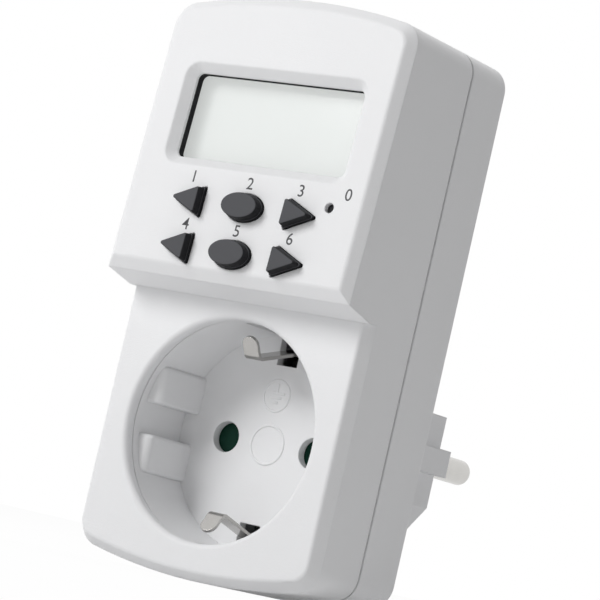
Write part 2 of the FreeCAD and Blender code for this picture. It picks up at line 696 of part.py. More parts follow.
def plug_pin(x):
    pin = rod(PIN_R, 2 * FIT, PIN_LEN, x, 0)
    tip = [e for e in pin.Edges if len(e.Vertexes) == 1 and abs(e.Vertexes[0].Y - PIN_LEN) < 1e-6]
    return join(pin.makeFillet(PIN_TIP_R, tip), rod(PIN_NECK_R, Y_PIN_END, PIN_LEN / 2, x, 0))


def pin_carrier():
    y0, y1 = -PLUG_WALL - PIN_CARRIER_T, -PLUG_WALL - FIT
    plate = plug_cavity(y0, y1)
    plate = plate.common(box(-PIN_CARRIER_HALF_W, PIN_CARRIER_HALF_W, y0, y1,
                             -PIN_CARRIER_HALF_H, PIN_CARRIER_HALF_H))
    for x in (-PIN_X, PIN_X):
        plate = plate.cut(rod(PIN_NECK_R + FIT, y0 - 1, y1 + 1, x, 0))
    return plate


def contact(side):
    """A slit tube that grips a plug pin, with a tail to its bar."""
    x, z, r = side * PIN_X, Z_SOCKET, CONTACT_BORE + CONTACT_T
    y1 = Y_CONTACT + CONTACT_L
    tube = rod(r, Y_CONTACT, y1, x, z).cut(rod(CONTACT_BORE, Y_CONTACT - 1, y1 + 1, x, z))
    tube = tube.cut(box(x - CONTACT_SLIT / 2, x + CONTACT_SLIT / 2, Y_CONTACT - 1, y1 - 3, z, z + r + 1))
    return tube


def live_out_bar():
    """Down from the relay to the live contact."""
    y0, y1 = Y_POWER - FIT - BAR_T, Y_POWER - FIT
    x, r = BAR_X, CONTACT_BORE + CONTACT_T
    z0 = Z_SOCKET - 1.3
    down = box(x - BAR_W / 2, x + BAR_W / 2, y0, y1, z0, Z_SOCKET + POWER_LOW + 2.5)
    foot = box(PIN_X + r - CONTACT_T / 2, x, y0, y1, z0, z0 + BAR_W)
    foot = foot.cut(rod(r + FIT, y0 - 1, y1 + 1, PIN_X, Z_SOCKET))
    return join(down, foot)


def neutral_bar():
    return live_out_bar().mirror(V(0, 0, 0), V(1, 0, 0))


def pin_bar(side):
    """From the plug pin's inner end: the live one goes up to the board, the neutral one
    across to its contact."""
    x = side * PIN_X
    y_end = Y_PIN_END - FIT
    pad_low, pad_high = -3.0, 3.0
    if side < 0:
        y_tube = Y_CONTACT + CONTACT_L + FIT
        pad = box(x - 1.5, x + 1.5, y_end - BAR_T, y_end, Z_SOCKET - 2.8, pad_high)
        tail = box(x - 1.5, x + 1.5, y_tube, y_end, Z_SOCKET - 2.8, Z_SOCKET - 2.8 + BAR_T)
        return join(pad, tail)
    rise = EARTH_GROOVE_FLOOR - PLUG_WALL - 3.4
    y_up = Y_POWER_BACK + FIT
    x_out = PLUG_SHOULDER_X - PLUG_WALL - AIR
    x_in = x_out - LIVE_BAR_W
    pad = box(x - 1.5, x + 1.5, y_end - BAR_T, y_end, pad_low, pad_high)
    stem = box(x_in, x_out, y_end - BAR_T, y_end, pad_high - 1, rise)
    along = box(x_in, x_out, y_up, y_end, rise - BAR_T, rise)
    up = box(x_in, x_out, y_up, y_up + BAR_T, rise - BAR_T, Z_SOCKET + POWER_LOW + 3)
    return join(pad, stem, along, up)


def earth_strap():
    z = Z_SOCKET
    half = STRAP_W / 2
    strap = box(-half, half, Y_STRAP, Y_STRAP + BAR_T, z - CLIP_ROOT - STRAP_END,
                z + CLIP_ROOT + STRAP_END)
    return strap


def plug_earth_contact(sign):
    z0 = EARTH_GROOVE_FLOOR + FIT
    half = EARTH_GROOVE_W / 2 - 2 * FIT
    y_in = Y_STRAP + BAR_T + FIT
    leaf = box(-half, half, y_in, -LEAF_END, z0, z0 + BAR_T)
    crown = box(-half, half, Y_BACK + LEAF_CLEAR, -LEAF_END, z0 + BAR_T, z0 + 2 * BAR_T)
    leaf = join(leaf, crown)
    if sign < 0:
        return leaf.mirror(V(0, 0, 0), V(0, 0, 1))
    low = Z_SOCKET + CLIP_ROOT
    return join(leaf, box(-half, half, y_in, y_in + BAR_T, low, z0 + BAR_T))


def contact_carrier():
    z = Z_SOCKET
    y0, y1 = Y_CARRIER, Y_CARRIER + CARRIER_T
    plate = rounded_plate(2 * CARRIER_HALF_W, CARRIER_TOP + CARRIER_BOTTOM, 2, y0, y1, 0,
                          z + (CARRIER_TOP - CARRIER_BOTTOM) / 2)
    for x in (-PIN_X, PIN_X):
        plate = plate.cut(rod(CONTACT_BORE + CONTACT_T + FIT, y0 - 1, y1 + 1, x, z))
    low = -EARTH_GROOVE_FLOOR
    half = EARTH_GROOVE_W / 2 + FIT
    return plate.cut(box(-half, half, y0 - 1, y1 + 1, low - BAR_T * 2, low + 2 * FIT))


def board_screws():
    screws = []
    long, head = BOARD_SCREW_LEN, BOARD_SCREW_HEAD_T
    for x in (-BOARD_SCREW_X, BOARD_SCREW_X):
        for s in CONTROL_SCREW_S:
            y = CONTROL_DEPTH + BOARD_T + FIT
            screws.append(on_face(join(rod(BOARD_SCREW_R, y - long, y + head / 2, x, s),
                                       rod(BOARD_SCREW_HEAD_R, y, y + head, x, s))))
        for z in POWER_SCREW_Z:
            y = Y_POWER - FIT
            screws.append(join(rod(BOARD_SCREW_R, y - head / 2, y + long, x, Z_SOCKET + z),
                               rod(BOARD_SCREW_HEAD_R, y - head, y, x, Z_SOCKET + z)))
    return Part.makeCompound(screws)


def case_screws():
    screws = []
    for x, z in SCREW_PLACES:
        z = Z_SOCKET + z
        y = Y_SEAM + SCREW_SEAT + FIT
        head = rod(SCREW_HEAD_R, y, y + SCREW_HEAD_H, x, z)
        slot, half = y + SCREW_HEAD_H / 2, SCREW_CROSS_W / 2
        head = head.cut(box(x - SCREW_CROSS, x + SCREW_CROSS, slot, y + WALL + 1, z - half, z + half))
        head = head.cut(box(x - half, x + half, slot, y + WALL + 1, z - SCREW_CROSS, z + SCREW_CROSS))
        screws.append(join(head, rod(SCREW_R, y - SCREW_LEN, slot, x, z)))
    return Part.makeCompound(screws)


def lens():
    return on_face(rounded_plate(LENS_W, LENS_H, 1.0, LENS_D, LENS_D + LENS_T, WINDOW_X, WINDOW_S))


def display_gasket():
    """The black foam ring that seats the lens on the back of the frame."""
    ring = rounded_plate(LENS_W, LENS_H, 1.0, GASKET_D, GASKET_D + GASKET_T, WINDOW_X, WINDOW_S)
    hole = rounded_plate(WINDOW_W + 2 * GASKET_LAP, WINDOW_H + 2 * GASKET_LAP, WINDOW_R,
                         GASKET_D - 1, GASKET_D + GASKET_T + 1, WINDOW_X, WINDOW_S)
    return on_face(ring.cut(hole))


def lcd_plate(d, thick, ledge):
    w, h = LENS_W - 2 * GLASS_IN, LENS_H - 2 * GLASS_IN
    return on_face(box(WINDOW_X - w / 2, WINDOW_X + w / 2, d, d + thick,
                       WINDOW_S - h / 2 + ledge, WINDOW_S + h / 2))


def lcd_holder():
    w, h = LENS_W + 2 * HOLDER_EDGE, LENS_H + 2 * HOLDER_EDGE
    d0, d1 = GLASS_D, CONTROL_DEPTH - FIT
    pocket = 2 * (GLASS_IN - SLIDE)
    ring = rounded_plate(w, h, HOLDER_EDGE, d0, d1, WINDOW_X, WINDOW_S)
    inner = rounded_plate(LENS_W - pocket, LENS_H - pocket, AIR, d0 - 1, REFLECTOR_D + REFLECTOR_T,
                          WINDOW_X, WINDOW_S)
    hollow = box(WINDOW_X - LENS_W / 2 + HOLDER_LEDGE, WINDOW_X + LENS_W / 2 - HOLDER_LEDGE,
                 d0 - 1, d1 + 1, WINDOW_S - LENS_H / 2 + GLASS_IN - SLIDE,
                 WINDOW_S + LENS_H / 2 - HOLDER_LEDGE)
    return on_face(ring.cut(inner).cut(hollow))


def zebra_strip():
    half = LENS_W / 2 - HOLDER_LEDGE - AIR
    low = WINDOW_S - LENS_H / 2 + GLASS_IN + AIR
    return on_face(box(WINDOW_X - half, WINDOW_X + half, REAR_GLASS_D, CONTROL_DEPTH - FIT,
                       low, low + GLASS_LEDGE - 2 * AIR))


def keypad_mat():
    d1 = CONTROL_DEPTH - FIT
    d0 = d1 - MAT_T
    low, high = CONTROL_LOW, ROW_UPPER_S + DOME_R + MAT_EDGE
    mat = rounded_plate(2 * (STEM_X + DOME_R + MAT_EDGE), high - low, MAT_EDGE, d0, d1, BUTTON_X,
                        (low + high) / 2)
    sunk = MAT_T / 5
    domes = [Part.makeCone(DOME_R, DOME_TOP_R, d0 - DOME_TOP + sunk,
                           V(BUTTON_X + x, d0 + sunk, s), V(0, -1, 0))
             for s in (ROW_UPPER_S, ROW_LOWER_S) for x in (-STEM_X, 0, STEM_X)]
    return on_face(join(mat, *domes))


def button(name):
    """A cap with a collar at its foot, drafted sides, a flange behind the wall and a stem."""
    collar = button_shapes(0, -BUTTON_COLLAR, WALL + FIT)[name]
    foot = end_wire(button_shapes(-BUTTON_STEP, -BUTTON_COLLAR, 0)[name], -BUTTON_COLLAR)
    crown = end_wire(button_shapes(-BUTTON_STEP - BUTTON_DRAFT, -BUTTON_PROUD, 0)[name],
                     -BUTTON_PROUD)
    cap = Part.makeLoft([crown, foot], True, True)
    front = [e for e in cap.Edges if all(abs(v.Y + BUTTON_PROUD) < 1e-6 for v in e.Vertexes)]
    cap = join(cap.makeFillet(BUTTON_EDGE_R, front), collar)
    flange = button_shapes(BUTTON_FLANGE, WALL + FIT, WALL + FIT + BUTTON_FLANGE_T)[name]
    foot_s = ROW_LOWER_S - BUTTON_HALF_H - FIT
    flange = flange.common(box(-CASE_W, CASE_W, 0, CASE_D, foot_s, TOP_ABOVE_SOCKET))
    side = -1 if "left" in name else 1 if "right" in name else 0
    s = ROW_UPPER_S if "upper" in name else ROW_LOWER_S
    stem = rod(BUTTON_STEM_R, WALL + 2 * FIT, STEM_END, BUTTON_X + side * STEM_X, s)
    return on_face(join(cap, flange, stem))


def reset_button():
    d = WALL + FIT
    return on_face(join(rod(RESET_R, RESET_SUNK, STEM_END + 1.2, RESET_X, RESET_S),
                        rod(RESET_R + 0.55, d, d + 0.6, RESET_X, RESET_S)))


def reset_switch():
    d = CONTROL_DEPTH - FIT
    top = STEM_END + 1.2 + RESET_TRAVEL + FIT
    return on_face(join(box(RESET_X - 1.5, RESET_X + 1.5, top + 0.6, d, RESET_S - 1.1, RESET_S + 1.5),
                        rod(0.8, top, top + 0.8, RESET_X, RESET_S)))


def control_board():
    d0, d1 = CONTROL_DEPTH, CONTROL_DEPTH + BOARD_T
    mid, high = (CONTROL_LOW + CONTROL_HIGH) / 2, CONTROL_HIGH - CONTROL_LOW
    board = rounded_plate(2 * CONTROL_HALF_W, high, BOARD_CORNER_R, d0, d1, 0, mid)
    for x in (-BOARD_SCREW_X, BOARD_SCREW_X):
        for s in CONTROL_SCREW_S:
            board = board.cut(rod(BOARD_SCREW_R + 3 * FIT, d0 - 1, d1 + 1, x, s))
    return on_face(board)


def power_board():
    high = POWER_HIGH - POWER_LOW
    board = rounded_plate(2 * POWER_HALF_W, high, BOARD_CORNER_R, Y_POWER, Y_POWER_BACK, 0,
                          Z_FOOT + high / 2)
    for x in (-BOARD_SCREW_X, BOARD_SCREW_X):
        for z in POWER_SCREW_Z:
            board = board.cut(rod(BOARD_SCREW_R + 3 * FIT, Y_POWER - 1, Y_POWER_BACK + 1, x,
                                  Z_SOCKET + z))
    return board


def on_board(x, z, w, h, tall, r=0.6, lift=FIT):
    """A block on the power board's front."""
    y1 = Y_POWER - lift
    return rounded_plate(w, h, r, y1 - tall, y1, x, z)


def relay_base():
    return on_board(RELAY_X, Z_RELAY, RELAY_W, RELAY_H, RELAY_BASE_T)


def relay_cover():
    lift = RELAY_BASE_T + 2 * FIT
    shell = on_board(RELAY_X, Z_RELAY, RELAY_W, RELAY_H, RELAY_TALL, lift=lift)
    return shell.cut(on_board(RELAY_X, Z_RELAY, RELAY_W - 2 * RELAY_WALL,
                              RELAY_H - 2 * RELAY_WALL, RELAY_TALL - RELAY_WALL + FIT,
                              lift=lift - FIT))


def relay_coil():
    y1 = Y_POWER - RELAY_BASE_T - 3 * FIT
    y0 = Y_POWER - RELAY_TALL + 8 * FIT
    core = rod(COIL_R, y0, y1, COIL_X, Z_RELAY)
    ends = [rod(COIL_END_R, y, y + COIL_END_T, COIL_X, Z_RELAY) for y in (y0, y1 - COIL_END_T)]
    return join(core, *ends)


def film_capacitor():
    return on_board(FILM_X, Z_FOOT + FILM_UP, FILM_W, FILM_H, FILM_TALL, r=1.0)


def smoothing_capacitor():
    z, foot = Z_FOOT + CAN_UP, Y_POWER - CAN_GROOVE_UP
    can = rod(CAN_R, Y_POWER - CAN_TALL, Y_POWER - FIT, CAN_X, z)
    groove = rod(CAN_R + 1, foot - CAN_GROOVE_W, foot, CAN_X, z)
    return can.cut(groove.cut(rod(CAN_R - CAN_GROOVE_D, foot - 1, foot + 1, CAN_X, z)))


def varistor():
    z = Z_FOOT + VARISTOR_UP
    y = Y_POWER - VARISTOR_OFF - VARISTOR_R
    disc = Part.makeCylinder(VARISTOR_R, VARISTOR_T, V(VARISTOR_X - VARISTOR_T / 2, y, z), V(1, 0, 0))
    legs = [rod(VARISTOR_LEG_R, y + VARISTOR_R / 2, Y_POWER - FIT, VARISTOR_X, z + dz)
            for dz in (-VARISTOR_LEG_PITCH / 2, VARISTOR_LEG_PITCH / 2)]
    return join(disc, *legs)


def bridge_rectifier():
    return on_board(BRIDGE_X, Z_HEAD - BRIDGE_DOWN, BRIDGE_W, BRIDGE_H, BRIDGE_TALL, r=0.4)


def fuse_resistor():
    x, y, z = POWER_HALF_W - FUSE_IN, Y_POWER - FUSE_OFF - FUSE_R, Z_HEAD - FUSE_DOWN
    body = Part.makeCylinder(FUSE_R, FUSE_L, V(x, y, z - FUSE_L / 2), V(0, 0, 1))
    out = FUSE_L / 2 - FUSE_LEG_IN
    legs = [box(x - FUSE_LEG / 2, x + FUSE_LEG / 2, y, Y_POWER - FIT, low, low + FUSE_LEG)
            for low in (z - out, z + out - FUSE_LEG)]
    return join(body, *legs)


def backup_battery():
    y1 = Y_POWER - CELL_OFF
    cell = rod(CELL_R, y1 - CELL_T, y1, CELL_X, Z_HEAD - CELL_DOWN)
    rims = [e for e in cell.Edges if len(e.Vertexes) == 1]
    return cell.makeFillet(CELL_ROUND, rims)


def battery_tabs():
    x, z, half = CELL_X, Z_HEAD - CELL_DOWN, TAB_W / 2
    y_top = Y_POWER - CELL_OFF - CELL_T - FIT
    edge = x + CELL_R + TAB_OUT
    under = box(x - CELL_R + TAB_OUT, x + half, Y_POWER - CELL_OFF + FIT, Y_POWER - FIT,
                z - half, z + half)
    over = box(x - half, edge, y_top - TAB_T, y_top, z - half, z + half)
    leg = box(edge - TAB_T, edge, y_top - TAB_T, Y_POWER - FIT, z - half, z + half)
    return Part.makeCompound([under, join(over, leg)])


def timer_chip():
    d = CONTROL_DEPTH + BOARD_T + FIT
    return on_face(rounded_plate(CHIP_W, CHIP_W, 0.4, d, d + CHIP_T, CHIP_X, CHIP_S))


def quartz_crystal():
    d = CONTROL_DEPTH + BOARD_T + FIT + CRYSTAL_R
    can = Part.makeCylinder(CRYSTAL_R, CRYSTAL_L, V(CRYSTAL_X, d, CRYSTAL_S - CRYSTAL_L / 2),
                            V(0, 0, 1))
    return on_face(can)


def link_header():
    """The row of pins that joins the two boards."""
    tilt = math.radians(TILT)
    rear = (CONTROL_DEPTH + BOARD_T + FIT) / math.cos(tilt)
    z = Z_FOOT + HEADER_UP
    y0 = Y_LIP + rear + (z + HEADER_PIN - Z_LIP) * math.tan(tilt) + FIT
    block = box(-HEADER_HALF_W, HEADER_HALF_W, Y_POWER - HEADER_T, Y_POWER - FIT,
                z - HEADER_H / 2, z + HEADER_H / 2)
    half = HEADER_PIN / 2
    places = [HEADER_PITCH * (i - (HEADER_PINS - 1) / 2) for i in range(HEADER_PINS)]
    pins = [box(x - half, x + half, y0, Y_POWER - HEADER_T / 2, z - half, z + half) for x in places]
    return join(block, *pins)


def build():
    parts = {
        "front_shell": front_shell(),
        "rear_shell": rear_shell(),
        "socket_well": socket_well(),
        "earth_clip_top": earth_clip(1),
        "earth_clip_bottom": earth_clip(-1),
        "shutter": shutter(),
        "shutter_spring": shutter_spring(),
        "plug_pin_left": plug_pin(-PIN_X),
        "plug_pin_right": plug_pin(PIN_X),
        "pin_carrier": pin_carrier(),
        "neutral_contact": contact(-1),
        "live_contact": contact(1),
        "live_out_bar": live_out_bar(),
        "neutral_bar": neutral_bar(),
        "live_pin_bar": pin_bar(1),
        "neutral_pin_bar": pin_bar(-1),
        "earth_strap": earth_strap(),
        "plug_earth_top": plug_earth_contact(1),
        "plug_earth_bottom": plug_earth_contact(-1),
        "contact_carrier": contact_carrier(),
        "board_screws": board_screws(),
        "case_screws": case_screws(),
        "display_gasket": display_gasket(),
        "display_lens": lens(),
        "lcd_front_glass": lcd_plate(GLASS_D, GLASS_T, 0),
        "lcd_rear_glass": lcd_plate(REAR_GLASS_D, GLASS_T, GLASS_LEDGE),
        "lcd_reflector": lcd_plate(REFLECTOR_D, REFLECTOR_T, GLASS_LEDGE),
        "lcd_holder": lcd_holder(),
        "zebra_strip": zebra_strip(),
        "keypad_mat": keypad_mat(),
        "reset_button": reset_button(),
        "reset_switch": reset_switch(),
        "control_board": control_board(),
        "power_board": power_board(),
        "relay_base": relay_base(),
        "relay_cover": relay_cover(),
        "relay_coil": relay_coil(),
        "film_capacitor": film_capacitor(),
        "smoothing_capacitor": smoothing_capacitor(),
        "varistor": varistor(),
        "bridge_rectifier": bridge_rectifier(),
        "fuse_resistor": fuse_resistor(),
        "backup_battery": backup_battery(),
        "battery_tabs": battery_tabs(),
        "timer_chip": timer_chip(),
        "quartz_crystal": quartz_crystal(),
        "link_header": link_header(),
    }
    for name in button_shapes(0, 0, 1):
        parts[name] = button(name)
    return parts


os.makedirs("parts", exist_ok=True)
for name, shape in build().items():
    if not shape.isValid():
        print("not valid:", name)
    shape.exportStep("parts/" + name + ".step")
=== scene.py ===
import json
import math

import bmesh
import bpy
from mathutils import Matrix, Vector


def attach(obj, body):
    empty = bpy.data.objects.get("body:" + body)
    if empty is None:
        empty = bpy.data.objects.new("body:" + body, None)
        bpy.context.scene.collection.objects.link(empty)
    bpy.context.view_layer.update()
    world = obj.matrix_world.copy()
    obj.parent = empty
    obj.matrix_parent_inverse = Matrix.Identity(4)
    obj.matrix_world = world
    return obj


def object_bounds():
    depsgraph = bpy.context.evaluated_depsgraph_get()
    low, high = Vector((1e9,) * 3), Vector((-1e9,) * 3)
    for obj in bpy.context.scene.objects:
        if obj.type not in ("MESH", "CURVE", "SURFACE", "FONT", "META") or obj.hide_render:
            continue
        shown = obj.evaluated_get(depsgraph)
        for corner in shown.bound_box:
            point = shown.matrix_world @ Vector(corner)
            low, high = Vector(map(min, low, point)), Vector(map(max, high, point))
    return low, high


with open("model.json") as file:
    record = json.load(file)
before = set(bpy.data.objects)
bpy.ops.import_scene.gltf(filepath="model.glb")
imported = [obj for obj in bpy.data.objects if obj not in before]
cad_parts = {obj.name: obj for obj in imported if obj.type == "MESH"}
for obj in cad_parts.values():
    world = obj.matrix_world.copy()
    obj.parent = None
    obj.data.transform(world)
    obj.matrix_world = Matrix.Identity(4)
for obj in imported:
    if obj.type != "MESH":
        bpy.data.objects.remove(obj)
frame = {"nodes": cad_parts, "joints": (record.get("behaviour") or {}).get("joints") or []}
cad_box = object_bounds()

# The case: two shells moulded in white ABS, joined by hooks and screws. The mould was
# spark-eroded, so the skin looks flat white and shows a sandy grain where light grazes it.
MM = 0.001
nodes = frame["nodes"]


class Wire:
    """An output in a tree of nodes. Sums and products of wires add Math nodes."""

    def __init__(self, tree, socket):
        self.tree = tree
        self.socket = socket

    def maths(self, operation, other):
        return self.tree.node("ShaderNodeMath", {"operation": operation}, {0: self, 1: other})

    def __add__(self, other):
        return self.maths("ADD", other)

    def __mul__(self, other):
        return self.maths("MULTIPLY", other)

    __radd__ = __add__
    __rmul__ = __mul__


class Tree:
    """The nodes of a material or of the surround, all made by one method."""

    def __init__(self, node_tree):
        self.node_tree = node_tree

    def node(self, kind, settings=None, sockets=None, out=0):
        made = self.node_tree.nodes.new(kind)
        for label, value in (settings or {}).items():
            setattr(made, label, value)
        for label, value in (sockets or {}).items():
            self.plug(made.inputs[label], value)
        return Wire(self, made.outputs[out])

    def plug(self, socket, value):
        if isinstance(value, Wire):
            self.node_tree.links.new(value.socket, socket)
        else:
            socket.default_value = value


class Finish(Tree):
    """A material, made with the constants of its shader."""

    def __init__(self, name, **constants):
        self.material = bpy.data.materials.new(name)
        self.material.use_nodes = True
        super().__init__(self.material.node_tree)
        self.shader = self.node_tree.nodes["Principled BSDF"]
        for label, value in constants.items():
            self.shader.inputs[label.replace("_", " ")].default_value = value
        self.place = self.node("ShaderNodeTexCoord", out="Object")

    def give(self, label, value):
        self.plug(self.shader.inputs[label], value)

    def noise(self, size, detail=2.0, rough=0.5, stretch=(1, 1, 1)):
        """Noise whose blots are about size millimetres across."""
        at = self.place
        if stretch != (1, 1, 1):
            at = self.node("ShaderNodeVectorMath", {"operation": "MULTIPLY"},
                           {0: self.place, 1: stretch})
        return self.node("ShaderNodeTexNoise", None,
                         {"Vector": at, "Scale": 1 / (size * MM), "Detail": detail,
                          "Roughness": rough})

    def blend(self, factor, a, b):
        """Colours a to b as factor goes from 0 to 1."""
        return self.node("ShaderNodeMix", {"data_type": "RGBA"},
                         {"Factor": factor, "A": (*a, 1), "B": (*b, 1)}, out="Result")

    def relief(self, height, depth, edge=0.0):
        """A bump of that height map, depth millimetres deep, over edges softened by edge."""
        sockets = {"Height": height, "Distance": depth * MM, "Strength": 1.0}
        if edge:
            sockets["Normal"] = self.node("ShaderNodeBevel", {"samples": 4},
                                          {"Radius": edge * MM})
        self.give("Normal", self.node("ShaderNodeBump", None, sockets))

    def cover(self, *names):
        for name in names:
            slots = nodes[name].data.materials
            if slots:
                for i in range(len(slots)):
                    slots[i] = self.material
            else:
                slots.append(self.material)


def moulded(name, colour, shade, grain, depth, edge):
    """Plastic with a sandy skin: grain, depth and edge in millimetres."""
    finish = Finish(name, Specular_IOR_Level=0.4)
    cloud = finish.noise(14.0, detail=1.0)
    sand = finish.noise(grain, detail=3.0, rough=0.65)
    finish.give("Base Color", finish.blend(cloud, colour, shade))
    finish.give("Roughness", 0.46 + 0.1 * sand)
    finish.relief(sand, depth, edge)
    return finish


moulded("white_case", colour=(0.855, 0.857, 0.868), shade=(0.84, 0.842, 0.853),
        grain=0.22, depth=0.05, edge=0.4).cover("front_shell", "rear_shell")

# The socket well: a separate cup of the same white plastic, moulded a little smoother,
# with four lugs that guide a plug. Its flange lies behind the front shell's wall.
moulded("white_socket", colour=(0.84, 0.842, 0.85), shade=(0.825, 0.827, 0.836),
        grain=0.28, depth=0.02, edge=0.3).cover("socket_well")

# Marks raised on the floor of the well: a ring round the earth sign and a plain ring near
# the socket's axis, both part of the cup's own moulding, with soft sides.
WELL_FLOOR_Y = -31.2
SOCKET_Z = -4.3
MARK_HEIGHT = 0.16
MARK_LINE = 0.46
MARK_SINK = 0.05
SHOULDER_HEIGHT = MARK_HEIGHT * 0.8
RING_FOOT = MARK_LINE * 0.62
RING_SHOULDER = MARK_LINE * 0.4
RING_CREST = MARK_LINE * 0.22
RING_SECTION = ((-RING_FOOT, -MARK_SINK), (-RING_SHOULDER, SHOULDER_HEIGHT),
                (-RING_CREST, MARK_HEIGHT), (RING_CREST, MARK_HEIGHT),
                (RING_SHOULDER, SHOULDER_HEIGHT), (RING_FOOT, -MARK_SINK))
RING_TURNS = 72
BAR_SECTION = ((0.07, -MARK_SINK), (0.0, SHOULDER_HEIGHT), (-0.05, MARK_HEIGHT))
SQUARE = ((-1, -1), (1, -1), (1, 1), (-1, 1))
EARTH_X = -0.7
EARTH_UP = 8.9
EARTH_R = 2.8
EARTH_STEM_UP, EARTH_STEM_W, EARTH_STEM_H = 10.25, 0.4, 1.6
EARTH_BAR_UP, EARTH_BAR_DROP, EARTH_BAR_H = 9.35, 0.85, 0.38
EARTH_BARS = (3.4, 2.2, 1.0)
RING_X = -0.35
RING_R = 3.5

mark_finish = moulded("well_marks", colour=(0.845, 0.847, 0.855), shade=(0.83, 0.832, 0.842),
                      grain=0.28, depth=0.015, edge=0.06)


def on_floor(bm, x, z, up):
    return bm.verts.new((x * MM, (WELL_FLOOR_Y - up) * MM, z * MM))


def raised_ring(bm, x, z, radius):
    """A closed ring on the well's floor."""
    rows = []
    for i in range(RING_TURNS):
        a = 2 * math.pi * i / RING_TURNS
        rows.append([on_floor(bm, x + (radius + r) * math.cos(a),
                              z + (radius + r) * math.sin(a), up) for r, up in RING_SECTION])
    count = len(RING_SECTION)
    for i, row in enumerate(rows):
        after = rows[(i + 1) % RING_TURNS]
        for k in range(count):
            bm.faces.new((row[k], after[k], after[(k + 1) % count], row[(k + 1) % count]))


def raised_bar(bm, x, z, w, h):
    """A straight bar on the well's floor."""
    layers = []
    for grow, up in BAR_SECTION:
        layers.append([on_floor(bm, x + sx * (w / 2 + grow), z + sz * (h / 2 + grow), up)
                       for sx, sz in SQUARE])
    for low, high in zip(layers, layers[1:]):
        for k in range(len(SQUARE)):
            after = (k + 1) % len(SQUARE)
            bm.faces.new((low[k], low[after], high[after], high[k]))
    bm.faces.new(layers[-1])
    bm.faces.new(layers[0][::-1])


def finished_mesh(name, bm):
    bmesh.ops.recalc_face_normals(bm, faces=bm.faces)
    for face in bm.faces:
        face.smooth = True
    mesh = bpy.data.meshes.new(name)
    bm.to_mesh(mesh)
    bm.free()
    return mesh


def new_piece(name, mesh, finish, body):
    """A piece that is made here and rides on one of the frame's bodies."""
    piece = bpy.data.objects.new(name, mesh)
    bpy.context.scene.collection.objects.link(piece)
    piece.data.materials.clear()
    piece.data.materials.append(finish.material)
    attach(piece, body)


bm = bmesh.new()
raised_ring(bm, EARTH_X, SOCKET_Z + EARTH_UP, EARTH_R)
raised_bar(bm, EARTH_X, SOCKET_Z + EARTH_STEM_UP, EARTH_STEM_W, EARTH_STEM_H)
for i, width in enumerate(EARTH_BARS):
    raised_bar(bm, EARTH_X, SOCKET_Z + EARTH_BAR_UP - i * EARTH_BAR_DROP, width, EARTH_BAR_H)
new_piece("earth_mark", finished_mesh("earth_mark", bm), mark_finish, "case")

bm = bmesh.new()
raised_ring(bm, RING_X, SOCKET_Z, RING_R)
new_piece("centre_ring", finished_mesh("centre_ring", bm), mark_finish, "case")


# The earth clips in the well and the strips that join them to the plug: nickel-plated
# brass strip, stamped and bent, with drawn lines along it.
def metal(name, colour, dark, line, stretch, rough, edge):
    """Drawn or turned metal: line and edge in millimetres, lines long where stretch is low."""
    finish = Finish(name, Metallic=1.0)
    lines = finish.noise(line, detail=3.0, rough=0.6, stretch=stretch)
    stain = finish.noise(5.0)
    finish.give("Base Color", finish.blend(stain, colour, dark))
    finish.give("Roughness", rough + 0.16 * lines)
    finish.relief(lines, 0.004, edge)
    return finish


metal("nickel", colour=(0.5, 0.49, 0.475), dark=(0.4, 0.39, 0.375), line=0.16,
      stretch=(1, 0.06, 0.06), rough=0.16, edge=0.12).cover(
    "earth_clip_top", "earth_clip_bottom", "plug_earth_top", "plug_earth_bottom", "earth_strap")

# The plug's two pins: turned from brass rod and nickel-plated, so fine rings run round
# them; the tip is rounded.
metal("pin_nickel", colour=(0.62, 0.61, 0.59), dark=(0.52, 0.51, 0.49), line=0.12,
      stretch=(0.05, 1, 0.05), rough=0.14, edge=0.1).cover("plug_pin_left", "plug_pin_right")

# The child-safety shutter behind the well's floor: a dark green disc, pierced twice, that
# turns on a peg of the well.
green = Finish("shutter_green", Specular_IOR_Level=0.1)
green.give("Base Color", green.blend(green.noise(3.0), (0.003, 0.026, 0.016),
                                     (0.007, 0.044, 0.028)))
green.give("Roughness", 0.34 + 0.2 * green.noise(0.3, detail=3.0))
green.relief(green.noise(0.25, detail=3.0), 0.012, edge=0.1)
green.cover("shutter")

# The shutter's spring: a hairpin of drawn steel wire round the same peg, which brings the
# shutter back over the pin holes.
metal("spring_steel", colour=(0.56, 0.56, 0.57), dark=(0.44, 0.44, 0.45), line=0.1,
      stretch=(1, 1, 1), rough=0.3, edge=0.0).cover("shutter_spring")

# The display's window: a clear moulded lens, polished on both faces, that is held behind
# the front shell's frame.
lens = Finish("clear_lens", Roughness=0.06, Alpha=0.04, Specular_IOR_Level=0.5)
lens.give("Base Color", lens.blend(lens.noise(20.0), (0.93, 0.95, 0.94), (0.9, 0.93, 0.92)))
lens.relief(lens.noise(6.0, detail=1.0), 0.002)
lens.cover("display_lens")

# The display itself: two sheets of glass with liquid crystal between them and a pale
# grey-green reflecting foil behind. Unplugged, it shows nothing. The glass carries painted
# light: a faint glow over a darker base colour, which lifts the frame's shadow on it.
glass = Finish("lcd_glass", Roughness=0.12, Alpha=0.93, Emission_Strength=0.52,
               Emission_Color=(0.975, 1.0, 0.985, 1))
glass.give("Base Color", glass.blend(glass.noise(9.0, detail=1.0), (0.32, 0.33, 0.325),
                                     (0.3, 0.315, 0.305)))
glass.relief(glass.noise(4.0, detail=1.0), 0.002)
glass.cover("lcd_front_glass", "lcd_rear_glass")

foil = Finish("lcd_reflector", Roughness=0.5)
foil.give("Base Color", foil.blend(foil.noise(0.3), (0.80, 0.83, 0.81), (0.74, 0.775, 0.755)))
foil.relief(foil.noise(0.2), 0.01)
foil.cover("lcd_reflector")

